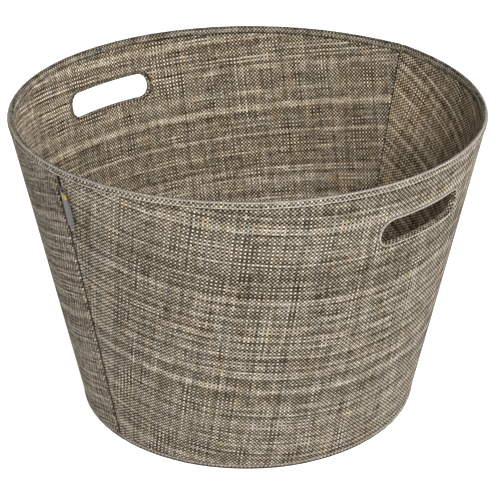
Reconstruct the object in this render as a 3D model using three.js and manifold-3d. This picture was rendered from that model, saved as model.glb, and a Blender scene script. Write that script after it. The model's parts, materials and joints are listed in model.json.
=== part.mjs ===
// A round, tapered fabric storage bin.
//
// The wall is made of two stiff panels, front and back, that meet at two upright seams.
// Each panel is a sandwich: woven cover outside, stiffening board, woven lining inside.
// A rim binding folds over the top edge, a base binding closes the bottom edge, and a
// bound hand slot goes through the middle of each panel. A loose, cloth-covered floor
// board lies on the sewn base cloth, and a folded ribbon label is sewn in beside one seam.
//
// Units are millimetres. +Z is up and the origin is the centre of the underside.
// The seams are at the -X and +X sides, and the hand slots at the -Y and +Y sides.
import * as THREE from "three";
import { mergeVertices } from "three/addons/utils/BufferGeometryUtils.js";
import Module from "manifold-3d";

const wasm = await Module();
wasm.setup();

// ---- driving dimensions ----------------------------------------------------

const TOP_RADIUS = 205; // outer face of the wall, at the rim
const BASE_RADIUS = 152; // outer face of the wall, at the floor
const HEIGHT = 275;

const CLOTH = 1.2; // thickness of the woven cover, lining and bindings
const BOARD = 2.2; // thickness of the stiffening board
const GAP = 0.3; // air between neighbouring pieces

const RIGHT_SEAM_DEG = 1.35; // the front panel is cut slightly wider than the back one
const LEFT_SEAM_DEG = 180 - RIGHT_SEAM_DEG;
const RIM_OVAL = 1.2; // how far the rim is drawn out towards the seams
const CORNER_OUT = 5; // the soft corner of the rim at the right seam
const CORNER_SPREAD_DEG = 12;

const RIM_LEG = 6.2; // how far the rim binding comes down each face
const BASE_LEG = 4; // how far the base binding comes up the outer face

const SLOT = { width: 93, height: 22, corner: 10, below_rim: 46 };
const FRONT_SLOT_TURN_DEG = 1.9; // the front slot isn't quite in the middle of its panel
const SLOT_LIP = 2.4; // how far the slot's edging spreads over each face

const THREAD_RADIUS = 0.35;
const RIM_STITCH_DOWN = 5.2; // from the rim to the row of stitches
const BASE_STITCH_UP = 3;
const SEAM_STITCH_IN = 5.5;

const FLOOR = { radius: 144.5, board: 2.8, turn_under: 16, backing: 0.8 };

const LABEL = { length: 34, width: 9.5, below_rim: 16, ribbon: 0.5 };
const LABEL_HINGE = { out: 1.5, beside_seam: 2, lean_deg: 20 };

const STEP_DEG = 4.5; // facets round the bin
const SEGMENTS = Math.round(360 / STEP_DEG);

// ---- derived sizes -----------------------------------------------------------

const WALL = 2 * CLOTH + BOARD + 2 * GAP;
const RIM_ROUND = WALL / 2; // the rim is a full round
const BOARD_FACE = CLOTH + GAP; // depth of the board's outer face below the wall's
const LINING_FACE = WALL - CLOTH; // depth of the lining's outer face
const SLOPE = (TOP_RADIUS - BASE_RADIUS) / HEIGHT;
const TILT = Math.atan(SLOPE);
const STEP = THREE.MathUtils.degToRad(STEP_DEG);
const RIGHT_SEAM = THREE.MathUtils.degToRad(RIGHT_SEAM_DEG);
const LEFT_SEAM = THREE.MathUtils.degToRad(LEFT_SEAM_DEG);
const FRONT = -Math.PI / 2;
const BACK = Math.PI / 2;

// ---- materials ---------------------------------------------------------------

const cloth = new THREE.MeshStandardMaterial({ color: 0x8b8171, roughness: 0.85, metalness: 0 });
const liningCloth = new THREE.MeshStandardMaterial({ color: 0x857a64, roughness: 0.85, metalness: 0 });
const bindingCloth = new THREE.MeshStandardMaterial({ color: 0x91897a, roughness: 0.8, metalness: 0 });
const board = new THREE.MeshStandardMaterial({ color: 0x9a8a70, roughness: 0.95, metalness: 0 });
const thread = new THREE.MeshStandardMaterial({ color: 0xb9b4ab, roughness: 0.6, metalness: 0 });
const darkTape = new THREE.MeshStandardMaterial({ color: 0x1f1b17, roughness: 0.9, metalness: 0 });
const ribbon = new THREE.MeshStandardMaterial({ color: 0x6f6c75, roughness: 0.7, metalness: 0 });
const felt = new THREE.MeshStandardMaterial({ color: 0x4a443c, roughness: 1, metalness: 0 });

// ---- solids ------------------------------------------------------------------

function toSolid(geometry) {
  const bare = geometry.index ? geometry.toNonIndexed() : geometry.clone();
  bare.deleteAttribute("normal");
  bare.deleteAttribute("uv");
  const merged = mergeVertices(bare, 1e-4);
  return new wasm.Manifold(
    new wasm.Mesh({
      numProp: 3,
      vertProperties: new Float32Array(merged.attributes.position.array),
      triVerts: new Uint32Array(merged.index.array),
    }),
  );
}

function toGeometry(solid) {
  const mesh = solid.getMesh();
  const geometry = new THREE.BufferGeometry();
  geometry.setAttribute("position", new THREE.BufferAttribute(mesh.vertProperties, 3));
  geometry.setIndex(new THREE.BufferAttribute(mesh.triVerts, 1));
  return geometry;
}

// A closed outline of [radius, height] points, revolved about +Z.
function revolve(outline) {
  const points = outline.map(([r, z]) => new THREE.Vector2(r, z));
  const onAxis = outline[0][0] === 0;
  if (!onAxis) points.push(points[0].clone());
  return toSolid(new THREE.LatheGeometry(points, SEGMENTS).rotateX(Math.PI / 2));
}

// The radius of the round wall at a height, at a depth below its outer face.
function wallRadius(z, depth = 0) {
  return BASE_RADIUS + SLOPE * z - depth / Math.cos(TILT);
}

// A layer of the wall between two depths and two heights.
function layer(outer, inner, low, high) {
  return revolve([
    [wallRadius(low, inner), low],
    [wallRadius(low, outer), low],
    [wallRadius(high, outer), high],
    [wallRadius(high, inner), high],
  ]);
}

// How much wider than a circle the bin is towards an angle.
function stretch(angle) {
  const fromCorner = Math.abs(Math.atan2(Math.sin(angle - RIGHT_SEAM), Math.cos(angle - RIGHT_SEAM)));
  const corner = CORNER_OUT * Math.exp(-fromCorner / THREE.MathUtils.degToRad(CORNER_SPREAD_DEG));
  return 1 + (RIM_OVAL * Math.cos(2 * angle) + corner) / TOP_RADIUS;
}

// Stretches a round piece to the bin's own outline. The stretch is even between two
// neighbouring facet edges, so every layer of the wall keeps its flat facets and its gaps.
function shaped(geometry) {
  const position = geometry.attributes.position;
  for (let i = 0; i < position.count; i++) {
    const [x, y] = [position.getX(i), position.getY(i)];
    const a = Math.floor(Math.atan2(y, x) / STEP) * STEP;
    const b = a + STEP;
    const alongA = (x * Math.sin(b) - y * Math.cos(b)) / Math.sin(STEP);
    const alongB = (y * Math.cos(a) - x * Math.sin(a)) / Math.sin(STEP);
    const [pullA, pullB] = [alongA * stretch(a), alongB * stretch(b)];
    position.setXY(i, pullA * Math.cos(a) + pullB * Math.cos(b), pullA * Math.sin(a) + pullB * Math.sin(b));
  }
  return geometry;
}

// The part of space that belongs to one panel, less a strip beside each seam.
function panelSpace(centre, edge) {
  const reach = 2 * TOP_RADIUS;
  const from = centre === FRONT ? LEFT_SEAM : RIGHT_SEAM;
  const to = centre === FRONT ? RIGHT_SEAM + 2 * Math.PI : LEFT_SEAM;
  const sector = new THREE.Shape();
  sector.moveTo(0, 0);
  for (let i = 0; i <= 4; i++) {
    const angle = from + ((to - from) * i) / 4;
    sector.lineTo(reach * Math.cos(angle), reach * Math.sin(angle));
  }
  const deep = { depth: 3 * HEIGHT, bevelEnabled: false };
  let space = toSolid(new THREE.ExtrudeGeometry(sector, deep).translate(0, 0, -HEIGHT));
  for (const seam of [RIGHT_SEAM, LEFT_SEAM]) {
    const strip = new THREE.BoxGeometry(reach, 2 * edge, 3 * HEIGHT).translate(reach / 2, 0, 0);
    space = space.subtract(toSolid(strip.rotateZ(seam)));
  }
  return space;
}

// The hand slot's rounded outline grown by an amount, as a bar square to the wall.
function slotBar(centre, grow) {
  const [w, h] = [SLOT.width / 2 + grow, SLOT.height / 2 + grow];
  const r = SLOT.corner + grow;
  const outline = new THREE.Shape();
  outline.moveTo(-w + r, -h);
  outline.lineTo(w - r, -h);
  outline.absarc(w - r, -h + r, r, -Math.PI / 2, 0);
  outline.lineTo(w, h - r);
  outline.absarc(w - r, h - r, r, 0, Math.PI / 2);
  outline.lineTo(-w + r, h);
  outline.absarc(-w + r, h - r, r, Math.PI / 2, Math.PI);
  outline.lineTo(-w, -h + r);
  outline.absarc(-w + r, -h + r, r, Math.PI, 1.5 * Math.PI);
  const bar = new THREE.ExtrudeGeometry(outline, { depth: 80, bevelEnabled: false, curveSegments: 5 });
  bar.translate(0, 0, -40).rotateX(Math.PI / 2 + TILT);
  const z = HEIGHT - SLOT.below_rim;
  const turn = centre === FRONT ? THREE.MathUtils.degToRad(FRONT_SLOT_TURN_DEG) : centre - FRONT;
  return toSolid(bar.translate(0, -wallRadius(z, WALL / 2), z).rotateZ(turn));
}

// ---- wall sandwich -----------------------------------------------------------

function coverPanel(centre) {
  return layer(0, CLOTH, BASE_LEG + GAP, HEIGHT - RIM_LEG - GAP)
    .intersect(panelSpace(centre, 0.8))
    .subtract(slotBar(centre, SLOT_LIP + GAP));
}

function stiffener(centre) {
  return layer(BOARD_FACE, BOARD_FACE + BOARD, CLOTH + GAP, HEIGHT - RIM_ROUND)
    .intersect(panelSpace(centre, 4))
    .subtract(slotBar(centre, CLOTH + GAP));
}

function liningPanel(centre) {
  return layer(LINING_FACE, WALL, CLOTH + GAP, HEIGHT - RIM_LEG - GAP)
    .intersect(panelSpace(centre, 0.4))
    .subtract(slotBar(centre, SLOT_LIP + GAP));
}

// ---- edges -------------------------------------------------------------------

// The rim binding's section: two legs joined by a half round over the board's top edge.
function rimBinding(centre) {
  const top = HEIGHT - RIM_ROUND;
  const foot = HEIGHT - RIM_LEG;
  const outline = [];
  const arch = (radius, from, to) => {
    const steps = 6;
    for (let i = 0; i <= steps; i++) {
      const turn = from + ((to - from) * i) / steps;
      outline.push([wallRadius(top, RIM_ROUND) + radius * Math.cos(turn), top + radius * Math.sin(turn)]);
    }
  };
  outline.push([wallRadius(foot, CLOTH), foot], [wallRadius(foot, 0), foot]);
  arch(RIM_ROUND, 0, Math.PI);
  outline.push([wallRadius(foot, WALL), foot], [wallRadius(foot, WALL - CLOTH), foot]);
  arch(RIM_ROUND - CLOTH, Math.PI, 0);
  return revolve(outline).intersect(panelSpace(centre, 0.4));
}

function baseBinding() {
  return revolve([
    [wallRadius(0, WALL), 0],
    [wallRadius(0, 0.8), 0],
    [wallRadius(0.8, 0), 0.8],
    [wallRadius(BASE_LEG, 0), BASE_LEG],
    [wallRadius(BASE_LEG, CLOTH), BASE_LEG],
    [wallRadius(CLOTH, CLOTH), CLOTH],
    [wallRadius(CLOTH, WALL), CLOTH],
  ]);
}

function baseCloth() {
  const radius = wallRadius(0, WALL) - GAP;
  return revolve([
    [0, 0],
    [radius, 0],
    [radius, CLOTH],
    [0, CLOTH],
  ]);
}

// A woven tape behind each seam, in the space between the two boards.
function seamTape(seam) {
  const half = 3.5;
  const slack = 0.5; // the tape is thinner than the boards beside it
  const reach = 2 * TOP_RADIUS;
  const strip = new THREE.BoxGeometry(reach, 2 * half, 3 * HEIGHT).translate(reach / 2, 0, 0);
  return layer(BOARD_FACE + slack, BOARD_FACE + BOARD - slack, CLOTH + GAP, HEIGHT - RIM_ROUND).intersect(
    toSolid(strip.rotateZ(seam)),
  );
}

// The slot's edging covers the cut edge and spreads over both faces.
function slotEdging(centre) {
  const [low, high] = [HEIGHT - 2 * SLOT.below_rim, HEIGHT - RIM_LEG];
  const web = layer(0, WALL, low, high).intersect(slotBar(centre, CLOTH));
  const outerLip = layer(0, CLOTH, low, high).intersect(slotBar(centre, SLOT_LIP));
  const innerLip = layer(LINING_FACE, WALL, low, high).intersect(slotBar(centre, SLOT_LIP));
  return web.add(outerLip).add(innerLip).subtract(slotBar(centre, 0));
}

// ---- stitching ---------------------------------------------------------------

// A closed loop of thread lying just proud of the wall's outer face. A closed tube has no open ends.
function threadLoop(points, segments) {
  const path = new THREE.CatmullRomCurve3(points, true, "centripetal");
  return toSolid(new THREE.TubeGeometry(path, segments, THREAD_RADIUS, 5, true));
}

function onFace(angle, z) {
  const r = wallRadius(z) + THREAD_RADIUS + GAP;
  return new THREE.Vector3(r * Math.cos(angle), r * Math.sin(angle), z);
}

// The row of stitches round a panel's own edge.
function panelStitching(centre) {
  const from = centre === FRONT ? LEFT_SEAM : RIGHT_SEAM;
  const to = centre === FRONT ? RIGHT_SEAM + 2 * Math.PI : LEFT_SEAM;
  const [low, high] = [BASE_STITCH_UP, HEIGHT - RIM_STITCH_DOWN];
  const [atTop, atBase] = [high, low].map((z) => SEAM_STITCH_IN / wallRadius(z));
  const points = [];
  const across = Math.round((to - from) / STEP);
  for (let i = 0; i <= across; i++) {
    points.push(onFace(from + atTop + ((to - from - 2 * atTop) * i) / across, high));
  }
  const down = 8;
  for (let i = 1; i < down; i++) {
    const share = i / down;
    points.push(onFace(to - THREE.MathUtils.lerp(atTop, atBase, share), THREE.MathUtils.lerp(high, low, share)));
  }
  for (let i = across; i >= 0; i--) {
    points.push(onFace(from + atBase + ((to - from - 2 * atBase) * i) / across, low));
  }
  for (let i = down - 1; i > 0; i--) {
    const share = i / down;
    points.push(onFace(from + THREE.MathUtils.lerp(atTop, atBase, share), THREE.MathUtils.lerp(high, low, share)));
  }
  return threadLoop(points, points.length);
}

// ---- floor board -------------------------------------------------------------

const FLOOR_LOW = CLOTH + GAP;
const LIP_LOW = FLOOR_LOW + FLOOR.backing + GAP;
const FLOOR_BOARD_LOW = LIP_LOW + CLOTH + GAP;
const FLOOR_TOP = FLOOR_BOARD_LOW + FLOOR.board + GAP + CLOTH;

function disc(radius, low, high) {
  return revolve([
    [0, low],
    [radius, low],
    [radius, high],
    [0, high],
  ]);
}

// The cloth covers the board's top, wraps its edge and is turned under.
function floorCover() {
  const round = 1;
  const inside = FLOOR.radius - CLOTH;
  const lip = FLOOR.radius - FLOOR.turn_under;
  return revolve([
    [0, FLOOR_TOP - CLOTH],
    [inside, FLOOR_TOP - CLOTH],
    [inside, LIP_LOW + CLOTH],
    [lip, LIP_LOW + CLOTH],
    [lip, LIP_LOW],
    [FLOOR.radius - round, LIP_LOW],
    [FLOOR.radius, LIP_LOW + round],
    [FLOOR.radius, FLOOR_TOP - round],
    [FLOOR.radius - round, FLOOR_TOP],
    [0, FLOOR_TOP],
  ]);
}

// ---- label -------------------------------------------------------------------

// A ribbon folded double: its fold is the free edge and its two ends are in the seam.
function labelRibbon() {
  const half = LABEL.ribbon + GAP / 2;
  const section = new THREE.Shape();
  section.moveTo(0, -half);
  section.lineTo(LABEL.width - half, -half);
  section.absarc(LABEL.width - half, 0, half, -Math.PI / 2, Math.PI / 2);
  section.lineTo(0, half);
  section.lineTo(0, GAP / 2);
  section.lineTo(LABEL.width - half, GAP / 2);
  section.lineTo(LABEL.width - half, -GAP / 2);
  section.lineTo(0, -GAP / 2);
  return new THREE.ExtrudeGeometry(section, { depth: LABEL.length, bevelEnabled: false, curveSegments: 6 });
}

// ---- assembly ----------------------------------------------------------------

const bin = new THREE.Group();

function add(name, solid, material, parent = bin) {
  const mesh = new THREE.Mesh(shaped(toGeometry(solid)), material);
  mesh.name = name;
  parent.add(mesh);
  return mesh;
}

for (const [side, centre] of [
  ["front", FRONT],
  ["back", BACK],
]) {
  add(`outer_panel_${side}`, coverPanel(centre), cloth);
  add(`stiffener_${side}`, stiffener(centre), board);
  add(`lining_panel_${side}`, liningPanel(centre), liningCloth);
  add(`rim_binding_${side}`, rimBinding(centre), bindingCloth);
  add(`slot_edging_${side}`, slotEdging(centre), bindingCloth);
  add(`panel_stitching_${side}`, panelStitching(centre), thread);
}

add("seam_tape_left", seamTape(LEFT_SEAM), darkTape);
add("seam_tape_right", seamTape(RIGHT_SEAM), darkTape);
add("base_binding", baseBinding(), bindingCloth);
add("base_cloth", baseCloth(), felt);

const floorPiece = new THREE.Group();
bin.add(floorPiece);
add("floor_board", disc(FLOOR.radius - CLOTH - GAP, FLOOR_BOARD_LOW, FLOOR_BOARD_LOW + FLOOR.board), board, floorPiece);
add("floor_cover", floorCover(), liningCloth, floorPiece);
add("floor_backing", disc(FLOOR.radius - 6, FLOOR_LOW, FLOOR_LOW + FLOOR.backing), felt, floorPiece);

// The label's own frame: x out from the seam, z up along the wall, y across the seam.
const labelHeight = HEIGHT - (LABEL.below_rim + LABEL.length) * Math.cos(TILT);
const labelRadius = wallRadius(labelHeight) * stretch(LEFT_SEAM) + LABEL_HINGE.out;
const labelAngle = LEFT_SEAM + LABEL_HINGE.beside_seam / labelRadius;
const labelHolder = new THREE.Group();
labelHolder.position.set(
  labelRadius * Math.cos(labelAngle),
  labelRadius * Math.sin(labelAngle),
  labelHeight,
);
labelHolder.rotation.set(0, TILT, labelAngle, "ZYX");
bin.add(labelHolder);
const label = new THREE.Mesh(labelRibbon(), ribbon);
label.name = "side_label";
label.rotation.z = THREE.MathUtils.degToRad(90 - LABEL_HINGE.lean_deg);
label.position.set(GAP * Math.cos(label.rotation.z), GAP * Math.sin(label.rotation.z), 0);
labelHolder.add(label);

export default bin;
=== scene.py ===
"""A round, tapered storage bin of stiffened tweed cloth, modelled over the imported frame.

The wall is a cone, slightly drawn out at its two seams. Every piece of cloth on it is a
smooth sheet laid on that cone, with the weave running as it does on panels cut flat.
Angles are in radians round +Z from +X. Lengths are in metres, but sections, discs and places
on the flat cloth are in millimetres, as their comments say.
"""
import json
import math

import bmesh
import bpy
import numpy as np
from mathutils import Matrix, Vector


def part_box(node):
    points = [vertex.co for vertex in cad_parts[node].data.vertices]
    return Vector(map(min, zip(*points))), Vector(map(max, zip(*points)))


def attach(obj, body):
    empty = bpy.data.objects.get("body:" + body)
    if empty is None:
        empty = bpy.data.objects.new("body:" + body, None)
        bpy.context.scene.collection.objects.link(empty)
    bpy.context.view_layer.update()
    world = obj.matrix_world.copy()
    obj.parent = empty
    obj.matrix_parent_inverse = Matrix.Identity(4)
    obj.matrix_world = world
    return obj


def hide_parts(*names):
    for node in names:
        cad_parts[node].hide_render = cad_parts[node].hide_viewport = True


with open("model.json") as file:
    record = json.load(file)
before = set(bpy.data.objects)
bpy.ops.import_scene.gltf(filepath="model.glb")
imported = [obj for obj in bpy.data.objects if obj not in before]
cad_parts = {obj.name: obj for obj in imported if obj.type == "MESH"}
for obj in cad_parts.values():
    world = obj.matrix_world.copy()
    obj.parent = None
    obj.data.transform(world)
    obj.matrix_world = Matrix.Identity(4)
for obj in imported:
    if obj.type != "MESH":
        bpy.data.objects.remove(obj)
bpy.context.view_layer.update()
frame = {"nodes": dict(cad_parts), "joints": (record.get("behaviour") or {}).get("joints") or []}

MM = 0.001

# ---- sizes, the same as the CAD model's ----------------------------------------------

TOP_RADIUS = 205 * MM
BASE_RADIUS = 152 * MM
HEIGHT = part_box("rim_binding_front")[1][2]
CLOTH = 1.2 * MM
WALL = 5.2 * MM

RIM_OVAL = 1.2 * MM
CORNER_OUT = 5 * MM
CORNER_SPREAD = math.radians(12)
RIGHT_SEAM = math.radians(1.35)
LEFT_SEAM = math.pi - RIGHT_SEAM

RIM_LEG = 6.2 * MM
BASE_LEG = 4 * MM
SLOT_HALF_WIDTH = 46.5 * MM
SLOT_HALF_HEIGHT = 11 * MM
SLOT_CORNER = 10 * MM
SLOT_MIDDLE = HEIGHT - 46 * MM
SLOT_LIP = 2.4 * MM
FLOOR_RADIUS = 144.5 * MM
LABEL_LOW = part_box("side_label")[0][2]
LABEL_LENGTH = 34 * MM

SLOPE = (TOP_RADIUS - BASE_RADIUS) / HEIGHT
TILT = math.atan(SLOPE)
FRONT = 1.5 * math.pi
BACK = 0.5 * math.pi
SLOT_ANGLE = {FRONT: FRONT + math.radians(1.9), BACK: BACK}

# ---- sizes of the cloth as it lies ---------------------------------------------------

RIM_STITCH_DOWN = 5 * MM
BASE_STITCH_UP = 3 * MM
SEAM_STITCH_IN = 6 * MM
BACKING_RADIUS = 138.4 * MM
UNDERSIDE_RADIUS = 146.3 * MM
LABEL_REACH = 10.4 * MM
LABEL_LEAN = math.radians(76)

# How far each cloth stops short of its seam's middle. The covers leave room for the label.
COVER_EDGE = 0.95 * MM
FRONT_EDGE_BESIDE_LABEL = 3.2 * MM
BACK_EDGE_BESIDE_LABEL = 2.4 * MM
LINING_EDGE = 0.55 * MM

# The weave: how far apart the threads lie across and up the cloth, in millimetres, and how far
# it is turned from the middle of a panel.
WARP_PITCH = 1.75
WEFT_PITCH = 1.79
GRAIN = math.radians(2)


# ---- camera --------------------------------------------------------------------------


def add_camera():
    """The camera looks down at the bin's left seam and front hand slot through a long lens."""
    azimuth, elevation = math.radians(-44.35), math.radians(26.66)
    distance = 6.816 * TOP_RADIUS
    target = Vector((0, 0, HEIGHT / 2))
    back = Vector(
        (
            math.sin(azimuth) * math.cos(elevation),
            -math.cos(azimuth) * math.cos(elevation),
            math.sin(elevation),
        )
    )
    camera = bpy.data.objects.new("camera", bpy.data.cameras.new("camera"))
    camera.data.lens = 111.9
    camera.data.sensor_width = 36
    camera.data.sensor_fit = "HORIZONTAL"
    camera.data.shift_x = 0.0039
    camera.data.shift_y = -0.0093
    camera.location = target + back * distance
    camera.rotation_mode = "QUATERNION"
    camera.rotation_quaternion = (-back).to_track_quat("-Z", "Y")
    bpy.context.scene.collection.objects.link(camera)
    bpy.context.scene.camera = camera


# ---- the wall's surface --------------------------------------------------------------


def stretch(angle):
    """How much wider than a circle the bin is towards an angle."""
    from_corner = np.abs(np.arctan2(np.sin(angle - RIGHT_SEAM), np.cos(angle - RIGHT_SEAM)))
    corner = CORNER_OUT * np.exp(-from_corner / CORNER_SPREAD)
    return 1 + (RIM_OVAL * np.cos(2 * angle) + corner) / TOP_RADIUS


def unevenness(angle, height):
    """The slow bulges of a hand-sewn wall, a fraction of a millimetre."""
    up = height / HEIGHT
    wave = np.sin(5 * angle + 2.1 * up) + 0.7 * np.sin(9 * angle - 4.3 * up + 1.3)
    wave = wave + 0.5 * np.sin(14 * angle + 7.7 * up + 0.4)
    return 0.12 * MM * wave


def radius_at(height, depth=0.0):
    """The round wall's radius at a height, at a depth below its outer face."""
    return BASE_RADIUS + SLOPE * height - depth / math.cos(TILT)


def wall_points(angle, height, depth):
    """Points of the wall at angles, heights and depths below its outer face."""
    angle, height, depth = np.broadcast_arrays(angle, height, depth)
    radius = (radius_at(height, depth) + unevenness(angle, height)) * stretch(angle)
    return np.stack([radius * np.cos(angle), radius * np.sin(angle), height], axis=-1)


def flat_cut(angle, height, centre):
    """Where a point of the wall lies on its panel before it was rolled up, in millimetres."""
    slant = radius_at(height) / math.sin(TILT)
    turn = (angle - centre) * math.sin(TILT) + GRAIN
    return np.stack([slant * np.sin(turn), slant * np.cos(turn)], axis=-1) / MM


def slot_place(across, up, depth, centre):
    """The angle and height of a point beside the hand slot, measured square to the wall."""
    height = SLOT_MIDDLE + up * math.cos(TILT) + (depth - WALL / 2) * math.sin(TILT)
    return SLOT_ANGLE[centre] + np.arcsin(across / radius_at(height, depth)), height


def nearest_on_slot(across, up, grow):
    """The nearest point of the slot's outline, grown by an amount."""
    core_x = SLOT_HALF_WIDTH - SLOT_CORNER
    core_y = SLOT_HALF_HEIGHT - SLOT_CORNER
    x, y = np.clip(across, -core_x, core_x), np.clip(up, -core_y, core_y)
    away = np.hypot(across - x, up - y)
    reach = (SLOT_CORNER + grow) / away
    return x + (across - x) * reach, y + (up - y) * reach


def slot_outline(count):
    """Points evenly round the hand slot, with the outward direction at each."""
    core_x = SLOT_HALF_WIDTH - SLOT_CORNER
    core_y = SLOT_HALF_HEIGHT - SLOT_CORNER
    quarter = 0.5 * math.pi * SLOT_CORNER
    lengths = np.array([2 * core_y, quarter, 2 * core_x, quarter] * 2)
    ends = np.cumsum(lengths)
    corners = [(core_x, core_y), (-core_x, core_y), (-core_x, -core_y), (core_x, -core_y)]
    points, directions = [], []
    for along in np.arange(count) / count * ends[-1]:
        part = int(np.searchsorted(ends, along, side="right"))
        share = (along - (ends[part] - lengths[part])) / lengths[part]
        turn = 0.5 * math.pi * (part // 2)
        x, y = corners[part // 2]
        if part % 2:
            turn += 0.5 * math.pi * share
        else:
            x0, y0 = corners[part // 2 - 1]
            x, y = x0 + (x - x0) * share, y0 + (y - y0) * share
        points.append((x, y))
        directions.append((math.cos(turn), math.sin(turn)))
    points, directions = np.array(points), np.array(directions)
    return points + SLOT_CORNER * directions, directions


def panel_ends(centre):
    """The angles of the seams at a panel's two ends, the lower one first."""
    if centre == FRONT:
        return LEFT_SEAM, RIGHT_SEAM + 2 * math.pi
    return RIGHT_SEAM, LEFT_SEAM


# ---- making meshes -------------------------------------------------------------------


def new_piece(name, points, faces, cloth_uv, material, body, stands_for):
    """A smooth mesh piece with its place on the flat cloth as a UV map."""
    mesh = bpy.data.meshes.new(name)
    mesh.from_pydata(points.reshape(-1, 3).tolist(), [], faces)
    layer = mesh.uv_layers.new(name="cloth")
    corners = np.zeros(len(mesh.loops), np.int32)
    mesh.loops.foreach_get("vertex_index", corners)
    layer.data.foreach_set("uv", cloth_uv.reshape(-1, 2)[corners].ravel())
    mesh.materials.append(material)
    mesh.shade_smooth()
    mesh.update()
    piece = bpy.data.objects.new(name, mesh)
    bpy.context.scene.collection.objects.link(piece)
    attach(piece, body)
    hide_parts(*stands_for)
    return piece


def face_outward(piece):
    """Turns every face of a closed piece outward."""
    work = bmesh.new()
    work.from_mesh(piece.data)
    bmesh.ops.recalc_face_normals(work, faces=work.faces)
    work.to_mesh(piece.data)
    work.free()


def grid_faces(rows, columns, close_columns=False):
    """Quads over a grid of points, row by row, joined round if it closes."""
    faces = []
    for i in range(rows - 1):
        for j in range(columns if close_columns else columns - 1):
            k, m = i + 1, (j + 1) % columns
            faces.append((i * columns + j, i * columns + m, k * columns + m, k * columns + j))
    return faces


def thicken(piece, thickness, offset=-1.0):
    """Gives a sheet its thickness: on its faces' inner side, or their outer side at offset 1."""
    solid = piece.modifiers.new("thickness", "SOLIDIFY")
    solid.thickness = thickness
    solid.offset = offset
    solid.use_even_offset = True


def smooth_step(value, low, high):
    """How far a value is from low to high, from 0 to 1 with a soft start and end."""
    share = np.clip((value - low) / (high - low), 0, 1)
    return share * share * (3 - 2 * share)


def spaced(start, end, spacing):
    """Evenly spaced values from start to end, about a spacing apart."""
    return np.linspace(start, end, max(2, round(abs(end - start) / spacing) + 1))


# ---- cloth panels --------------------------------------------------------------------


PANEL_STEP = 3 * MM
EDGE_STEPS = np.array([0, 0.35, 0.8, 1.4, 2.2, 3.2, 4.4, 5.4, 6, 6.6, 7.6, 9.2]) * MM
EDGE_ROWS = 6  # how many of the edge's steps the top and bottom edges have
WINDOW_LOW = SLOT_MIDDLE - 28 * MM
WINDOW_HIGH = SLOT_MIDDLE + 26 * MM
WINDOW_TURN = (SLOT_HALF_WIDTH + 12 * MM) / radius_at(SLOT_MIDDLE)
RING_SHARES = [0.3, 0.55, 0.75, 0.88, 0.95, 1.0]


def panel_rows(low, high):
    """Heights for a panel's rows, close together at its edges and lined up with its window."""
    return np.concatenate(
        [
            low + EDGE_STEPS[:EDGE_ROWS],
            spaced(low + 5 * MM, WINDOW_LOW, PANEL_STEP),
            spaced(WINDOW_LOW, WINDOW_HIGH, PANEL_STEP)[1:-1],
            spaced(WINDOW_HIGH, high - 3.6 * MM, PANEL_STEP)[:-1],
            high - EDGE_STEPS[EDGE_ROWS - 1 :: -1],
        ]
    )


def side_columns(turn):
    """Shares of the turn from a seam to the slot's middle, close together at the seam."""
    to_window = (turn - WINDOW_TURN) * TOP_RADIUS
    steps = np.concatenate([EDGE_STEPS, spaced(11.5 * MM, to_window, PANEL_STEP)])
    return steps / (turn * TOP_RADIUS)


def panel_grid(centre, z, edges):
    """Angles of a panel's columns at each height, how far they are from its edge at both seams,
    and which columns are in the window round its slot."""
    start, end = panel_ends(centre)
    hole = SLOT_ANGLE[centre]
    left, right = side_columns(hole - start), side_columns(end - hole)
    middle = spaced(-WINDOW_TURN, WINDOW_TURN, PANEL_STEP / TOP_RADIUS)[1:-1]
    beside_label = smooth_step(z, LABEL_LOW - 5 * MM, LABEL_LOW + 5 * MM)
    first_edge, last_edge = (edges[0] + (wide - edges[0]) * beside_label for wide in edges[1:])
    angle = np.concatenate(
        [
            hole - (hole - start - first_edge / radius_at(z)) * (1 - left[None, :]),
            hole + middle[None, :] + 0 * z,
            hole + (end - hole - last_edge / radius_at(z)) * (1 - right[None, ::-1]),
        ],
        axis=1,
    )
    from_start = (angle - start) * radius_at(z) - first_edge
    from_end = (end - angle) * radius_at(z) - last_edge
    return angle, from_start, from_end, range(len(left) - 1, len(left) + len(middle) + 1)


def window_border(rows, columns):
    """The row and column of each grid point on the window's border, in order."""
    border = [(rows[0], j) for j in columns]
    border += [(i, columns[-1]) for i in rows[1:]]
    border += [(rows[-1], j) for j in reversed(columns[:-1])]
    border += [(i, columns[0]) for i in reversed(rows[1:-1])]
    return np.array(border).T


def faces_round_window(row_count, column_count, rows, columns):
    """Quads over a panel's grid everywhere but in the window."""
    faces = []
    for i in range(row_count - 1):
        for j in range(column_count - 1):
            if not (i in rows[:-1] and j in columns[:-1]):
                k = i * column_count + j
                faces.append((k, k + 1, k + column_count + 1, k + column_count))
    return faces


def slot_rings(angle, z, face, inward, centre):
    """Rings of points from the window's border to the slot, tucked in under its edging."""
    rise = (z - SLOT_MIDDLE - (face - WALL / 2) * math.sin(TILT)) / math.cos(TILT)
    run = np.sin(angle - SLOT_ANGLE[centre]) * radius_at(z, face)
    near_x, near_y = nearest_on_slot(run, rise, SLOT_LIP + 0.25 * MM)
    points, uv = [], []
    for share in RING_SHARES:
        x, y = run + (near_x - run) * share, rise + (near_y - rise) * share
        ring_angle, ring_z = slot_place(x, y, face, centre)
        tuck = 0.8 * MM * smooth_step(share, 0.85, 1.0) * inward
        points.append(wall_points(ring_angle, ring_z, face + tuck))
        uv.append(flat_cut(ring_angle, ring_z, centre))
    return points, uv


def ring_faces(border, first):
    """Quads from the window's border through its rings, whose points are numbered from first."""
    faces, count = [], len(border)
    outer = border
    for ring in range(len(RING_SHARES)):
        inner = [first + ring * count + k for k in range(count)]
        for k in range(count):
            m = (k + 1) % count
            faces.append((outer[k], outer[m], inner[m], inner[k]))
        outer = inner
    return faces


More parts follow.
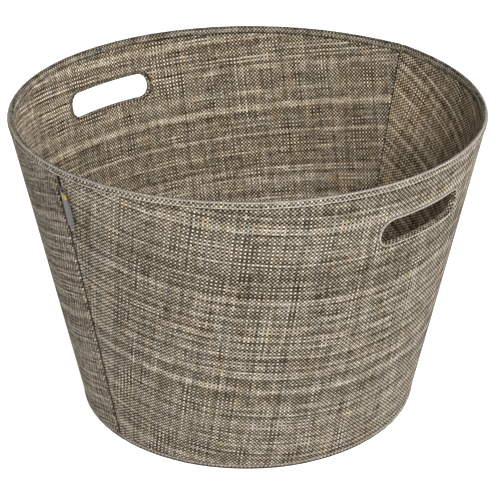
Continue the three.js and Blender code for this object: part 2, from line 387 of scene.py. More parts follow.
def panel(name, centre, inside, material, stands_for, edges, doubled):
    """One half of the wall's cloth, with its hand slot, its turned edges and its seam allowance.

    edges is how far it stops short of the seams' middle: at both seams below the label, then at
    its first seam and at its last one beside the label. doubled is how far the seam allowance
    lifts it at its first seam and at its last one.
    """
    face, inward = (WALL, -1) if inside else (0.0, 1)
    low = CLOTH if inside else BASE_LEG + 0.3 * MM
    high = HEIGHT - RIM_LEG - 0.3 * MM
    rows = panel_rows(low, high)
    angle, from_start, from_end, window_columns = panel_grid(centre, rows[:, None], edges)
    z = rows[:, None] + 0 * angle
    points = panel_points(angle, z, face, inward, from_start, from_end, doubled, low, high)

    first, last = (int(np.argmin(np.abs(rows - h))) for h in (WINDOW_LOW, WINDOW_HIGH))
    window_rows = range(first, last + 1)
    i, j = window_border(window_rows, window_columns)
    rings, ring_uv = slot_rings(angle[i, j], z[i, j], face, inward, centre)
    faces = faces_round_window(*angle.shape, window_rows, window_columns)
    faces += ring_faces((i * angle.shape[1] + j).tolist(), angle.size)
    if inside:
        faces = [quad[::-1] for quad in faces]
    points = np.concatenate([points.reshape(-1, 3), *rings])
    uv = np.concatenate([flat_cut(angle, z, centre).reshape(-1, 2), *ring_uv])
    piece = new_piece(name, points, faces, uv, material, "bin", stands_for)
    thicken(piece, CLOTH * 0.9)


def panel_points(angle, z, face, inward, from_start, from_end, doubled, low, high):
    """The panel's surface: turned in at every edge, and raised where its seam allowance lies."""
    from_seam = np.minimum(from_start, from_end)
    from_border = np.minimum(np.minimum(z - low, high - z), from_seam)
    roll = 1.1 * MM
    turned = np.clip(roll - from_border, 0, roll)
    depth = inward * (roll - np.sqrt(roll**2 - turned**2))
    raised = np.zeros_like(depth)
    for away, amount in ((from_start, doubled[0]), (from_end, doubled[1])):
        raised += amount * (1 - smooth_step(away, SEAM_STITCH_IN + 0.2 * MM, SEAM_STITCH_IN + 2 * MM))
        groove = np.exp(-(((away - SEAM_STITCH_IN) / (0.8 * MM)) ** 2))
        pulled = 0.6 + 0.4 * np.sin(z * 2 * math.pi / (6.5 * MM))
        raised -= 0.35 * MM * groove * pulled * (amount > 0)
    pucker = np.exp(-(high - z) / (5 * MM)) * np.sin(angle * 190) * 0.12 * MM
    return wall_points(angle, z, face + depth - inward * (raised + pucker))


# ---- bindings ------------------------------------------------------------------------


def rounded_line(knots, per_span):
    """A smooth line through a few points, as an array."""
    knots = np.array(knots, float)
    padded = np.concatenate([[2 * knots[0] - knots[1]], knots, [2 * knots[-1] - knots[-2]]])
    line = []
    for i in range(1, len(padded) - 2):
        p0, p1, p2, p3 = padded[i - 1 : i + 3]
        for t in np.arange(per_span) / per_span:
            line.append(
                0.5
                * (
                    2 * p1
                    + (p2 - p0) * t
                    + (2 * p0 - 5 * p1 + 4 * p2 - p3) * t**2
                    + (3 * p1 - p0 - 3 * p2 + p3) * t**3
                )
            )
    line.append(knots[-1])
    return np.array(line)


def along_line(line):
    """How far along a line each of its points is."""
    return np.concatenate([[0], np.cumsum(np.linalg.norm(np.diff(line, axis=0), axis=1))])


def rim_binding(name, centre, material, stands_for):
    """The cloth folded over the wall's top edge, from leg to leg."""
    start, end = panel_ends(centre)
    proud = 0.35 * MM
    half = WALL / 2 + proud
    arc = [
        (WALL / 2 - half * math.cos(turn), -half - 0.1 * MM + half * math.sin(turn))
        for turn in np.linspace(0, math.pi, 9)
    ]
    # Depth below the wall's outer face and drop from the rim, up the outer leg from its fold.
    outer_leg = [(0.75 * MM, -6.0 * MM), (0.25 * MM, -6.15 * MM), (-0.35 * MM, -5.6 * MM)]
    outer_leg += [(-0.15 * MM, -4.9 * MM), (-0.4 * MM, -3.9 * MM)]
    inner_leg = [(WALL - depth, drop) for depth, drop in reversed(outer_leg)]
    profile = rounded_line(outer_leg + arc + inner_leg, 3)
    depth, drop = profile[:, 0][:, None], profile[:, 1][:, None]
    gap = 0.12 * MM / TOP_RADIUS
    angle = spaced(start + gap, end - gap, 1.6 * MM / TOP_RADIUS)[None, :]
    from_end = np.minimum(angle - start, end - angle) * TOP_RADIUS
    closing = 0.9 * MM * np.exp(-from_end / (0.7 * MM))
    towards_middle = (depth - WALL / 2) / half
    soft = 0.09 * MM * np.sin(angle * 211 + 3 * depth / MM) + 0.07 * MM * np.sin(angle * 97)
    depth = depth - towards_middle * (closing - soft)
    height = HEIGHT + drop - closing - 0.06 * MM + 0.05 * MM * np.sin(angle * 61)
    points = wall_points(angle, height, depth)
    along = along_line(profile)[:, None] / MM
    round_rim = (angle - centre) * TOP_RADIUS / MM
    uv = np.stack(np.broadcast_arrays(round_rim, along), axis=-1)
    faces = grid_faces(*points.shape[:2])
    piece = new_piece(name, points, faces, uv, material, "bin", stands_for)
    thicken(piece, 0.8 * MM)


def slot_edging(name, centre, material, stands_for):
    """The cloth rolled over the hand slot's cut edge, from face to face."""
    # The section in millimetres: its distance from the slot's edge, and its depth in the wall.
    turns = np.linspace(-0.5, 0.5, 19) * math.pi
    grow = 2.5 - 2.5 * np.cos(turns) ** 0.8
    bulge = 0.45 * np.exp(-(((np.abs(turns) - 1.2) / 0.25) ** 2))
    half = WALL / MM / 2
    depth = half + (half + 0.1 + bulge) * np.sin(turns)
    ends = [(2.5, 0.9), (2.5, WALL / MM - 0.9)]
    profile = np.concatenate([ends[:1], np.stack([grow, depth], axis=1), ends[1:]]) * MM
    outline, outward = slot_outline(150)
    grow, depth = profile[:, 0][:, None], profile[:, 1][:, None]
    across = outline[None, :, 0] + outward[None, :, 0] * grow
    up = outline[None, :, 1] + outward[None, :, 1] * grow
    angle, height = slot_place(across, up, depth, centre)
    points = wall_points(angle, height, depth)
    along = along_line(profile)[:, None] / MM
    step = np.linalg.norm(np.roll(outline, -1, axis=0) - outline, axis=1)
    round_slot = np.concatenate([[0], np.cumsum(step)[:-1]])[None, :] / MM
    uv = np.stack(np.broadcast_arrays(round_slot, along), axis=-1)
    faces = grid_faces(*points.shape[:2], close_columns=True)
    piece = new_piece(name, points, faces, uv, material, "bin", stands_for)
    thicken(piece, 0.8 * MM)


def base_roll(material):
    """The binding round the bin's bottom edge, rolled under the wall."""
    # The section in millimetres: depth below the wall's outer face, and height.
    knots = [(0.9, 4.0), (0.25, 4.1), (-0.35, 3.6), (-0.55, 2.2), (-0.15, 0.7), (1.0, 0.08)]
    knots += [(3.0, 0.0), (5.5, 0.1)]
    profile = rounded_line(knots, 3) * MM
    angle = np.linspace(0, 2 * math.pi, 560, endpoint=False)[None, :]
    depth, height = profile[:, 0][:, None], profile[:, 1][:, None]
    soft = 0.08 * MM * np.sin(angle * 83) + 0.06 * MM * np.sin(angle * 37 + 1)
    meets_underside = unevenness(angle, height) * smooth_step(depth, 3 * MM, 5 * MM)
    points = wall_points(angle, height, depth - soft * (height > 0.5 * MM) + meets_underside)
    along = along_line(profile)[:, None] / MM
    uv = np.stack(np.broadcast_arrays(angle * BASE_RADIUS / MM, along), axis=-1)
    faces = grid_faces(*points.shape[:2], close_columns=True)
    piece = new_piece(
        "base_roll", points, faces, uv, material, "bin", ["base_binding"]
    )
    thicken(piece, 0.7 * MM, offset=1.0)


def seam_tape(name, seam, material, stands_for):
    """The ribbed tape behind a seam, between the two boards and pushed out into the gap, where its
    near-black colour is painted shade for the gap.
    """
    across = np.linspace(-3.5, 3.5, 17)[None, :] * MM
    rib_pitch = 1.5 * MM
    height = spaced(2 * MM, HEIGHT - 3 * MM, rib_pitch)[:, None]
    angle = seam + across / radius_at(height)
    rib = 0.1 * MM * np.sin(height / rib_pitch * math.pi)
    depth = 2.4 * MM + rib - 1.5 * MM * np.exp(-((across / (1.0 * MM)) ** 2))
    points = wall_points(angle, height, depth)
    uv = np.stack(np.broadcast_arrays(across, height), axis=-1) / MM
    faces = grid_faces(*points.shape[:2])
    piece = new_piece(name, points, faces, uv, material, "bin", stands_for)
    thicken(piece, 0.8 * MM)


# ---- stitching -----------------------------------------------------------------------


def stitches(name, path, outward, pitch, length, material, stands_for):
    """A row of separate stitches along a closed path, each one diving into the cloth at its ends."""
    loop = np.concatenate([path, path[:1]])
    ends = along_line(loop)
    count = round(ends[-1] / pitch)
    sides, rings = 6, 7
    radius, crown, dive = 0.33 * MM, 0.15 * MM, 0.75 * MM
    points, faces = [], []
    turns = np.arange(sides) * 2 * math.pi / sides
    for k in range(count):
        at = (np.linspace(-0.5, 0.5, rings) * length / pitch + k + 0.5) * ends[-1] / count
        centre = np.stack([np.interp(at, ends, loop[:, a]) for a in range(3)], axis=1)
        out = outward[int((k + 0.5) / count * len(path)) % len(path)]
        along = centre[-1] - centre[0]
        along /= np.linalg.norm(along)
        side = np.cross(along, out)
        share = np.linspace(-1, 1, rings)
        centre = centre + out * (crown - dive * share[:, None] ** 4)
        for ring in range(rings):
            thin = 1 - 0.45 * share[ring] ** 4
            for turn in turns:
                spoke = math.cos(turn) * out + math.sin(turn) * side
                points.append(centre[ring] + spoke * radius * thin)
        first = k * rings * sides
        for ring in range(rings - 1):
            for s in range(sides):
                a, b = first + ring * sides + s, first + ring * sides + (s + 1) % sides
                faces.append((a, b, b + sides, a + sides))
        faces.append(tuple(first + s for s in reversed(range(sides))))
        faces.append(tuple(first + (rings - 1) * sides + s for s in range(sides)))
    points = np.array(points)
    uv = points[:, :2] / MM
    piece = new_piece(name, points, faces, uv, material, "bin", stands_for)
    face_outward(piece)


def outward_at(angle):
    """The wall's outward direction at an angle."""
    return np.stack(
        [
            math.cos(TILT) * np.cos(angle),
            math.cos(TILT) * np.sin(angle),
            np.full_like(angle, -math.sin(TILT)),
        ],
        axis=-1,
    )


def panel_stitches(name, centre, material, stands_for):
    """The row of stitches round a panel: along the rim, down both seams and along the base."""
    start, end = panel_ends(centre)
    high, low = HEIGHT - RIM_STITCH_DOWN, BASE_STITCH_UP
    top_gap, low_gap = (SEAM_STITCH_IN / radius_at(h) for h in (high, low))
    rim = spaced(start + top_gap, end - top_gap, 2 * MM / TOP_RADIUS)
    base = spaced(end - low_gap, start + low_gap, 2 * MM / BASE_RADIUS)
    fall = spaced(high, low, 2 * MM)[1:-1]
    down = end - SEAM_STITCH_IN / radius_at(fall)
    up = start + SEAM_STITCH_IN / radius_at(fall[::-1])
    angle = np.concatenate([rim, down, base, up])
    height = np.concatenate([rim * 0 + high, fall, base * 0 + low, fall[::-1]])
    depth = np.concatenate([rim * 0 + 0.1, fall * 0 - 0.15, base * 0 - 0.35, fall * 0 - 0.15]) * MM
    path = wall_points(angle, height, depth)
    pitch, length = 3.4 * MM, 2.7 * MM
    stitches(name, path, outward_at(angle), pitch, length, material, stands_for)


# ---- floor and underside -------------------------------------------------------------


def disc_rings(radius):
    """Radii from a disc's middle to its edge, in millimetres."""
    return np.concatenate([[0, 2], np.arange(5, radius / MM - 1, 3), [radius / MM]])


def disc_sheet(name, profile, material, body, stands_for, bumps, thickness, under=False):
    """A round sheet from a line of radii and heights in millimetres, from its centre.

    It faces up, or down if it lies under its piece. bumps is how high its slow swells are.
    """
    line = np.array(profile) * MM
    count = 240
    angle = np.arange(count) * 2 * math.pi / count
    radius, height = line[1:, 0][:, None], line[1:, 1][:, None]
    wide = radius * stretch(angle)[None, :]
    x, y = wide * np.cos(angle), wide * np.sin(angle)
    swell = bumps * (np.sin(31 * x + 2) * np.sin(27 * y + 1) + 0.4 * np.sin(83 * x + 57 * y))
    z = height + swell * smooth_step(line[-1, 0] - radius, 0, 8 * MM)
    ring = np.stack(np.broadcast_arrays(x, y, z), axis=-1).reshape(-1, 3)
    points = np.concatenate([[[0, 0, line[0, 1] + bumps * 0.3]], ring])
    faces = [(0, 1 + j, 1 + (j + 1) % count) for j in range(count)]
    for i in range(len(line) - 2):
        for j in range(count):
            a, b = 1 + i * count + j, 1 + i * count + (j + 1) % count
            faces.append((a, a + count, b + count, b))
    uv = points[:, :2] / MM
    piece = new_piece(name, points, faces, uv, material, body, stands_for)
    if under:
        for polygon in piece.data.polygons:
            polygon.flip()
    thicken(piece, thickness)


def floor_cover(material):
    """The cloth over the loose floor board, wrapped over its edge and turned under."""
    top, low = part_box("floor_cover")[1][2] / MM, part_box("floor_cover")[0][2] / MM
    radius = FLOOR_RADIUS / MM
    flat = [(r, top) for r in disc_rings(FLOOR_RADIUS - 3.5 * MM)]
    edge = [(radius - 1.9, top - 0.15), (radius - 0.7, top - 0.7), (radius - 0.1, top - 1.7)]
    edge += [(radius, top - 2.9)]
    edge += [(radius - 0.1, low + 1.7), (radius - 0.7, low + 0.6), (radius - 1.9, low + 0.1)]
    turned = [(radius - inward, low) for inward in (3.5, 8.5, 13.5, 16)]
    disc_sheet(
        "floor_cloth", flat + edge + turned, material, "floor_insert", ["floor_cover"],
        0.12 * MM, CLOTH * 0.8,
    )


def insert_backing(material):
    """The felt glued under the floor insert."""
    profile = [(r, 1.6) for r in disc_rings(BACKING_RADIUS)]
    disc_sheet(
        "insert_backing", profile, material, "floor_insert", ["floor_backing"],
        0.03 * MM, 0.6 * MM, under=True,
    )


def underside(material):
    """The felt that closes the bin's bottom, raised a little where it meets the binding."""
    profile = [(r, 0.1) for r in disc_rings(UNDERSIDE_RADIUS)]
    profile[-1] = (UNDERSIDE_RADIUS / MM, 0.5)
    disc_sheet(
        "underside_cloth", profile, material, "bin", ["base_cloth"],
        0.04 * MM, 0.9 * MM, under=True,
    )


# ---- label ---------------------------------------------------------------------------


def label(material):
    """A ribbon folded double that comes out of the seam and leans over the panel.

    Its section is in millimetres: along the ribbon from its hinge, and in towards the wall.
    """
    joint = next(j for j in frame["joints"] if j["name"] == "label_flap")
    hinge, up = Vector(joint["pos_m"]), Vector(joint["axis"]).normalized()
    normal = Vector((hinge.x, hinge.y, 0)).normalized()
    normal = (normal - up * normal.dot(up)).normalized()
    sideways = up.cross(normal)
    section = [(0.0, 2.9), (1.6, 1.9), (3.2, 0.75), (6.0, 0.5), (8.6, 0.55), (9.9, 0.47)]
    section += [(10.4, 0.0), (9.9, -0.47), (8.6, -0.55), (6.0, -0.5), (3.2, -0.25)]
    section += [(1.8, 0.8), (0.2, 2.0)]
    line = rounded_line(section, 3) * MM
    rows = spaced(0, LABEL_LENGTH, 0.8 * MM)
    points = []
    for z in rows:
        curl = math.radians(9) * math.sin(math.pi * z / LABEL_LENGTH + 0.5)
        for out, side in line:
            bend = LABEL_LEAN + curl * out / LABEL_REACH
            along = normal * math.cos(bend) + sideways * math.sin(bend)
            across = sideways * math.cos(bend) - normal * math.sin(bend)
            points.append(hinge + up * z + along * out + across * side)
    points = np.array(points)
    distance = along_line(line)[None, :]
    uv = np.stack(np.broadcast_arrays(distance, rows[:, None]), axis=-1) / MM
    faces = grid_faces(len(rows), len(line))
    piece = new_piece("label_ribbon", points, faces, uv, material, "label", ["side_label"])
    thicken(piece, 0.4 * MM)


# ---- materials -----------------------------------------------------------------------


class Shader:
    """A node tree with short calls for the nodes the cloth needs."""

    def __init__(self, name):
        self.material = bpy.data.materials.new(name)
        self.material.use_nodes = True
        self.tree = self.material.node_tree
        self.surface = self.tree.nodes["Principled BSDF"]

    def node(self, kind, **settings):
        node = self.tree.nodes.new(kind)
        for key, value in settings.items():
            setattr(node, key, value)
        return node

    def feed(self, socket, value):
        """Links a socket to a node's output, or sets it to a fixed value."""
        if isinstance(value, bpy.types.NodeSocket):
            self.tree.links.new(value, socket)
        else:
            socket.default_value = value

    def math(self, operation, *values):
        """The result of a calculation with one to three numbers."""
        node = self.node("ShaderNodeMath", operation=operation)
        for socket, value in zip(node.inputs, values):
            self.feed(socket, value)
        return node.outputs[0]

    def blend(self, share, first, second):
        """A number between two others, by a share."""
        return self.math("MULTIPLY_ADD", self.math("SUBTRACT", second, first), share, first)

    def mix(self, share, first, second):
        """A colour between two others, by a share."""
        node = self.node("ShaderNodeMix", data_type="RGBA")
        self.feed(node.inputs[0], share)
        self.feed(node.inputs[6], first)
        self.feed(node.inputs[7], second)
        return node.outputs[2]

    def shade(self, colour, amount):
        """A colour multiplied by a grey amount."""
        node = self.node("ShaderNodeVectorMath", operation="SCALE")
        self.feed(node.inputs[0], colour)
        self.feed(node.inputs[3], amount)
        return node.outputs[0]

    def tinted(self, colour, tint):
        """A colour multiplied by another one."""
        node = self.node("ShaderNodeVectorMath", operation="MULTIPLY")
        self.feed(node.inputs[0], colour)
        self.feed(node.inputs[1], tint)
        return node.outputs[0]

    def ramp(self, value, stops):
        """A number's colour, on a scale of places and colours."""
        node = self.node("ShaderNodeValToRGB")
        elements = node.color_ramp.elements
        while len(elements) < len(stops):
            elements.new(0.5)
        for element, (place, colour) in zip(elements, stops):
            element.position = place
            element.color = (*colour, 1)
        self.feed(node.inputs[0], value)
        return node.outputs[0]

    def vector(self, x, y, z=0.0):
        node = self.node("ShaderNodeCombineXYZ")
        for socket, value in zip(node.inputs, (x, y, z)):
            self.feed(socket, value)
        return node.outputs[0]

    def noise(self, vector, scale, detail=2.0):
        """Smooth noise from 0 to 1."""
        node = self.node("ShaderNodeTexNoise")
        self.feed(node.inputs["Vector"], vector)
        node.inputs["Scale"].default_value = scale
        node.inputs["Detail"].default_value = detail
        return node.outputs[0]

    def streaks(self, across, along, across_scale, along_scale, seed, detail=1.0):
        """Noise drawn out by a different amount in each of two directions."""
        x = self.math("MULTIPLY", across, across_scale)
        y = self.math("MULTIPLY", along, along_scale)
        return self.noise(self.vector(x, y, seed), 1.0, detail)

    def white(self, value):
        """A number from 0 to 1 with no link between one value and the next."""
        node = self.node("ShaderNodeTexWhiteNoise", noise_dimensions="1D")
        self.feed(node.inputs["W"], value)
        return node.outputs[0]

    def cloth_place(self):
        """The place on the flat cloth, in millimetres."""
        node = self.node("ShaderNodeUVMap", uv_map="cloth")
        parts = self.node("ShaderNodeSeparateXYZ")
        self.tree.links.new(node.outputs[0], parts.inputs[0])
        return parts.outputs[0], parts.outputs[1]

    def bump(self, height, distance):
        """Gives the surface relief: a height of 1 stands out by the distance."""
        node = self.node("ShaderNodeBump")
        self.feed(node.inputs["Height"], height)
        node.inputs["Distance"].default_value = distance
        self.tree.links.new(node.outputs[0], self.surface.inputs["Normal"])

    def finish(self, colour, roughness, sheen=0.0, specular=0.3):
        """Sets the surface and returns the material."""
        self.feed(self.surface.inputs["Base Color"], colour)
        self.feed(self.surface.inputs["Roughness"], roughness)
        self.surface.inputs["Specular IOR Level"].default_value = specular
        self.surface.inputs["Sheen Weight"].default_value = sheen
        self.surface.inputs["Sheen Roughness"].default_value = 0.4
        return self.material


# The colours of the yarns, dark to light.
YARN_COLOURS = [
    (0.0, (0.016, 0.010, 0.004)),
    (0.3, (0.036, 0.025, 0.013)),
    (0.5, (0.15, 0.121, 0.084)),
    (0.7, (0.42, 0.355, 0.27)),
    (1.0, (0.86, 0.765, 0.63)),
]

# How the yarns differ in hue, from grey to tan.
DYES = [(0.3, (0.88, 0.94, 1.0)), (0.5, (0.95, 0.95, 0.95)), (0.7, (1.0, 0.93, 0.82))]

# Bands along a binding: painted highlight, pale where it is stretched over an edge, and painted
# shade, dark where it turns under.
PAINTED_HIGHLIGHT = ((0.40, 0.36, 0.33), (0.78, 0.72, 0.66))
SHADED = ((0.012, 0.010, 0.008), (0.035, 0.030, 0.024))

# Where the yarns lie between dark and light, and how much a yarn's own tone, the slow changes
# along it and the quick ones move it from there.
WARP_SHADE = 0.74
WARP_RANGES = (0.25, 0.42, 0.75)
WEFT_SHADE = 0.325
WEFT_RANGES = (0.64, 1.0, 0.8)
UPPER_SHARE = 0.62  # how much of a crossing's shade is its upper yarn's
LOWER_SHARE = 0.38


def yarn_tone(s, yarn, along, seed, offset, ranges):
    """How much lighter than its neighbours a yarn is here.

    Each yarn has its own tone, with slow and quick changes along it. In some patches of the
    cloth, light yarns take turns with dark ones.
    """
    own_range, slow_range, quick_range = ranges
    patch = s.streaks(yarn, along, 0.055, 0.012, seed + offset + 6)
    turn = s.math("MULTIPLY_ADD", s.math("FLOORED_MODULO", yarn, 2.0), 2.0, -1.0)
    taking_turns = s.math("MULTIPLY", s.math("SUBTRACT", patch, 0.5), turn)
    own = s.white(s.math("ADD", yarn, seed * 31.7 + offset))
    slow = s.streaks(yarn, along, 7.31, 0.034, seed + offset)
    quick = s.streaks(yarn, along, 7.31, 0.11, seed + offset + 3)
    tone = s.math("MULTIPLY", s.math("SUBTRACT", own, 0.5), own_range)
    tone = s.math("MULTIPLY_ADD", s.math("SUBTRACT", slow, 0.5), slow_range, tone)
    tone = s.math("ADD", tone, taking_turns)
    return s.math("MULTIPLY_ADD", s.math("SUBTRACT", quick, 0.5), quick_range, tone)


def crossing_shade(s, base, over, under):
    """The shade of a crossing: mostly its upper yarn's, with the lower one showing round it."""
    upper = s.math("MULTIPLY_ADD", over, UPPER_SHARE, base)
    return s.math("MULTIPLY_ADD", under, LOWER_SHARE, upper)


def crossing_shape(s, in_x, in_y, weft_over):
    """A crossing is a small pillow, round across its yarn and dipping at both ends.

    Returns the pillow and the twist of the yarn on it.
    """
    across = s.blend(weft_over, in_x, in_y)
    along = s.math("SUBTRACT", s.math("ADD", in_x, in_y), across)
    rounded = []
    for place in (across, along):
        from_middle = s.math("ABSOLUTE", s.math("MULTIPLY_ADD", place, 2.0, -1.0))
        rounded.append(s.math("SUBTRACT", 1.0, s.math("POWER", from_middle, 2.4)))
    pillow = s.math("MULTIPLY", rounded[0], s.math("MULTIPLY_ADD", rounded[1], 0.75, 0.25))
    slant = s.math("ADD", s.math("MULTIPLY", along, 15.0), s.math("MULTIPLY", across, 9.0))
    return pillow, s.math("SINE", slant)


def with_lines(s, colour, v, fibre, hollow_shade, lines):
    """A cloth's colour with smooth bands of painted highlight and painted shade across it, their
    edges slightly wavy.
    """
    wavy = s.math("MULTIPLY_ADD", fibre, 0.6, s.math("SUBTRACT", v, 0.3))
    for start, end, (dark, light), strength in lines:
        from_middle = s.math("ABSOLUTE", s.math("SUBTRACT", wavy, (start + end) / 2))
        from_edge = s.math("SUBTRACT", (end - start) / 2, from_middle)
        inside = s.node("ShaderNodeClamp")
        s.feed(inside.inputs[0], s.math("MULTIPLY", from_edge, 2.5))
        smooth = s.ramp(fibre, [(0.3, dark), (0.7, light)])
        share = s.math("MULTIPLY", s.math("MULTIPLY", inside.outputs[0], strength), hollow_shade)
        colour = s.mix(share, colour, smooth)
    return colour


def tweed(name, seed, brightness, warmth, lines=()):
    """A plain weave of thick mixed yarns: each yarn has its own shade, which changes along it.

    lines are smooth bands of painted highlight and painted shade across a binding, each with its
    start and end in millimetres, its colours and its strength.
    """
    s = Shader(name)
    u, v = s.cloth_place()
    wander_u = s.streaks(u, v, 0.02, 0.05, seed, detail=2.0)
    wander_v = s.streaks(u, v, 0.05, 0.02, seed + 5, detail=2.0)
    x = s.math("ADD", s.math("DIVIDE", u, WARP_PITCH), s.math("MULTIPLY", wander_u, 1.1))
    y = s.math("ADD", s.math("DIVIDE", v, WEFT_PITCH), s.math("MULTIPLY", wander_v, 1.1))
    warp, weft = s.math("FLOOR", x), s.math("FLOOR", y)
    in_x, in_y = s.math("SUBTRACT", x, warp), s.math("SUBTRACT", y, weft)
    weft_over = s.math("FLOORED_MODULO", s.math("ADD", warp, weft), 2.0)

    warp_tone = yarn_tone(s, warp, v, seed, 2.0, WARP_RANGES)
    weft_tone = yarn_tone(s, weft, u, seed, 9.0, WEFT_RANGES)
    warp_shade = crossing_shade(s, WARP_SHADE, warp_tone, weft_tone)
    weft_shade = crossing_shade(s, WEFT_SHADE, weft_tone, warp_tone)
    yarn = s.ramp(s.blend(weft_over, warp_shade, weft_shade), YARN_COLOURS)
    warp_hue = s.streaks(warp, v, 0.45, 0.03, seed + 17)
    weft_hue = s.streaks(weft, u, 0.45, 0.03, seed + 14)
    dye = s.ramp(s.blend(weft_over, warp_hue, weft_hue), DYES)

    pillow, twist = crossing_shape(s, in_x, in_y, weft_over)
    fibre = s.noise(s.vector(u, v, seed), 2.6, 3.0)
    # Painted shade: the colour is darkened in the hollows round each crossing's pillow.
    hollow_shade = s.math("MULTIPLY_ADD", s.math("POWER", pillow, 0.5), 0.72, 0.28)
    clouds = s.noise(s.vector(u, v, seed + 8), 0.011, 2.0)
    tone = s.math("MULTIPLY_ADD", clouds, 0.24, 0.88)
    fuzz = s.math("MULTIPLY_ADD", fibre, 0.5, 0.75)
    lit = s.shade(yarn, s.math("MULTIPLY", s.math("MULTIPLY", hollow_shade, tone), fuzz))
    tint = (brightness * (1 + warmth), brightness, brightness * (1 - 2 * warmth))
    colour = s.tinted(s.tinted(lit, tint), dye)
    colour = with_lines(s, colour, v, fibre, hollow_shade, lines)

    height = s.math("MULTIPLY_ADD", fibre, 0.25, s.math("MULTIPLY_ADD", twist, 0.05, pillow))
    s.bump(height, 0.45 * MM)
    roughness = s.math("MULTIPLY_ADD", fibre, 0.2, 0.72)
    return s.finish(colour, roughness, specular=0.06)


def thread_material():
    """Twisted thread in the cloth's own middle shade."""
    s = Shader("stitch_thread")
    place = s.node("ShaderNodeTexCoord").outputs["Object"]
    soft = s.noise(place, 900.0, 2.0)
    colour = s.ramp(soft, [(0.3, (0.15, 0.13, 0.10)), (0.7, (0.32, 0.285, 0.235))])
    s.bump(soft, 0.1 * MM)
    return s.finish(colour, s.math("MULTIPLY_ADD", soft, 0.2, 0.5), sheen=0.1)


def tape_material():
    """Ribbed cotton tape; its near-black colour is painted shade for the seam's gap."""
    s = Shader("seam_shade_tape")
    u, v = s.cloth_place()
    rib = s.math("SINE", s.math("ADD", s.math("MULTIPLY", v, 6.0), s.math("ABSOLUTE", u)))
    soft = s.noise(s.vector(u, v), 1.5)
    colour = s.ramp(soft, [(0.3, (0.004, 0.0035, 0.003)), (0.8, (0.014, 0.012, 0.01))])
    s.bump(rib, 0.1 * MM)
    return s.finish(colour, 0.9)


def ribbon_material():
    """Grey satin ribbon with a plain yellow stripe woven in near its upper end."""
    s = Shader("label_ribbon")
    u, v = s.cloth_place()
    rib = s.math("SINE", s.math("MULTIPLY", v, 11.0))
    soft = s.noise(s.vector(u, v), 0.6, 3.0)
    grey = s.ramp(soft, [(0.3, (0.062, 0.057, 0.062)), (0.7, (0.115, 0.106, 0.115))])
    stripe_low, stripe_high = 26.6, 31.2
    above = s.math("GREATER_THAN", v, stripe_low)
    below = s.math("LESS_THAN", v, stripe_high)
    stripe = s.math("MULTIPLY", above, below)
    yellow = s.ramp(soft, [(0.3, (0.29, 0.175, 0.001)), (0.7, (0.42, 0.27, 0.002))])
    s.bump(s.math("MULTIPLY_ADD", soft, 0.5, rib), 0.06 * MM)
    return s.finish(s.mix(stripe, grey, yellow), s.math("MULTIPLY_ADD", soft, 0.2, 0.45), sheen=0.2)


def felt_material(name, dark, light):
    """Matt felted cloth with short tangled fibres."""
    s = Shader(name)
    place = s.node("ShaderNodeTexCoord").outputs["Object"]
    fine = s.noise(place, 700.0, 4.0)
    coarse = s.noise(place, 60.0, 3.0)
    both = s.math("MULTIPLY_ADD", s.math("SUBTRACT", fine, coarse), 0.5, coarse)
    colour = s.ramp(both, [(0.35, dark), (0.65, light)])
    s.bump(both, 0.3 * MM)
    return s.finish(colour, 0.95, sheen=0.15)


def board_material():
    """Grey-brown pressed board with flecks of fibre."""
    s = Shader("pressed_board")
    place = s.node("ShaderNodeTexCoord").outputs["Object"]
    fleck = s.noise(place, 500.0, 5.0)
    cloud = s.noise(place, 40.0, 2.0)
    both = s.math("MULTIPLY_ADD", s.math("SUBTRACT", fleck, 0.5), 0.6, cloud)
    colour = s.ramp(both, [(0.3, (0.2, 0.155, 0.1)), (0.7, (0.4, 0.32, 0.21))])
    s.bump(fleck, 0.1 * MM)
    return s.finish(colour, 0.88)


# ---- light and floor -----------------------------------------------------------------


def soft_lamp(name, place, power):
    """A round lamp 1.3 m across that shines on the bin's middle."""
    lamp = bpy.data.lights.new(name, "AREA")
    lamp.shape = "DISK"
    lamp.size = 1.3
    lamp.energy = power
    holder = bpy.data.objects.new(name, lamp)
    holder.location = place
    holder.rotation_mode = "QUATERNION"
    aim = Vector((0, 0, 0.15)) - Vector(place)
    holder.rotation_quaternion = aim.to_track_quat("-Z", "Y")
    bpy.context.scene.collection.objects.link(holder)


def add_floor():
    """A pale floor just under the bin, bright enough to show as white."""
    mesh = bpy.data.meshes.new("floor")
    reach = 30.0
    corners = [(-reach, -reach, 0), (reach, -reach, 0), (reach, reach, 0), (-reach, reach, 0)]
    mesh.from_pydata(corners, [], [(0, 1, 2, 3)])
    floor = bpy.data.objects.new("floor", mesh)
    floor.location.z = -0.4 * MM
    s = Shader("studio_floor")
    s.finish((0.9, 0.9, 0.9, 1), 0.9, specular=0.1)
    s.surface.inputs["Emission Color"].default_value = (1, 1, 1, 1)
    s.surface.inputs["Emission Strength"].default_value = 0.85
    mesh.materials.append(s.material)
    bpy.context.scene.collection.objects.link(floor)


def add_studio():
    """A pale floor under soft studio light."""
    world = bpy.data.worlds.new("studio")
    world.use_nodes = True
    background = world.node_tree.nodes["Background"]
    background.inputs["Color"].default_value = (1, 1, 1, 1)
    background.inputs["Strength"].default_value = 0.24
    bpy.context.scene.world = world
    soft_lamp("key", (-1.36, -2.35, 1.85), 108)
    soft_lamp("side", (2.68, -1.55, 0.98), 60)
    add_floor()
    bpy.context.scene.view_settings.view_transform = "Standard"


# ---- assembly ------------------------------------------------------------------------


def repaint(node, material):
    """Gives a CAD node a better material."""
    piece = frame["nodes"][node]
    for slot in piece.material_slots:
        slot.link = "OBJECT"
        slot.material = material


add_camera()
add_studio()

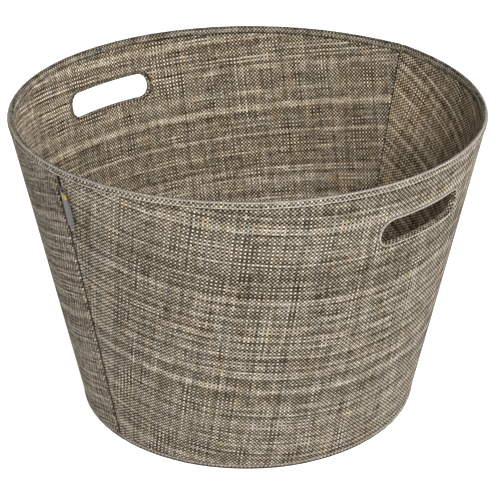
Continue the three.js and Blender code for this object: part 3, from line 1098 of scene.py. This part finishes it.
cover_cloth = tweed("cover_tweed", 1.0, 0.77, 0.0)
# The linings, and the floor cloth made from the back one, are the cover's cloth painted lighter, the
# front one most: painted light for the inside of the bin.
lining_cloth = {
    "front": tweed("lining_front_tweed", 4.5, 1.72, 0.045),
    "back": tweed("lining_back_tweed", 4.0, 1.4, 0.02),
}
# Painted highlight: on the rim's outer shoulder and near its outer leg's lower edge, at the slot
# edging's outer lip and along the base binding's top. Painted shade: where the base binding turns
# under.
rim_lines = [(1.5, 2.5, PAINTED_HIGHLIGHT, 0.9), (6.0, 8.6, PAINTED_HIGHLIGHT, 0.6)]
rim_cloth = tweed("rim_tweed", 7.0, 0.85, 0.0, rim_lines)
base_lines = [(0.2, 1.5, PAINTED_HIGHLIGHT, 0.6), (1.8, 20.0, SHADED, 1.2)]
base_cloth = tweed("base_tweed", 8.0, 0.9, 0.0, base_lines)
edge_cloth = tweed("edge_tweed", 11.0, 0.9, 0.0, [(-1.0, 2.5, PAINTED_HIGHLIGHT, 0.5)])
thread = thread_material()
seam_shade_tape = tape_material()
ribbon = ribbon_material()
underside_felt = felt_material("underside_felt", (0.03, 0.026, 0.02), (0.085, 0.072, 0.056))
board = board_material()

for side, centre, edges, lift in (
    ("front", FRONT, (COVER_EDGE, FRONT_EDGE_BESIDE_LABEL, COVER_EDGE), (0.0, 0.5 * MM)),
    ("back", BACK, (COVER_EDGE, COVER_EDGE, BACK_EDGE_BESIDE_LABEL), (0.2 * MM, 0.9 * MM)),
):
    panel(
        f"cover_{side}", centre, False, cover_cloth, [f"outer_panel_{side}"],
        edges, lift,
    )
    panel(
        f"lining_{side}", centre, True, lining_cloth[side], [f"lining_panel_{side}"],
        (LINING_EDGE, LINING_EDGE, LINING_EDGE), (0.0, 0.0),
    )
    rim_binding(f"rim_{side}", centre, rim_cloth, [f"rim_binding_{side}"])
    slot_edging(f"slot_edge_{side}", centre, edge_cloth, [f"slot_edging_{side}"])
    panel_stitches(f"panel_stitches_{side}", centre, thread, [f"panel_stitching_{side}"])
    repaint(f"stiffener_{side}", board)

seam_tape("tape_left", LEFT_SEAM, seam_shade_tape, ["seam_tape_left"])
seam_tape("tape_right", RIGHT_SEAM, seam_shade_tape, ["seam_tape_right"])
base_roll(base_cloth)
floor_cover(lining_cloth["back"])
repaint("floor_board", board)
underside(underside_felt)
insert_backing(underside_felt)
label(ribbon)
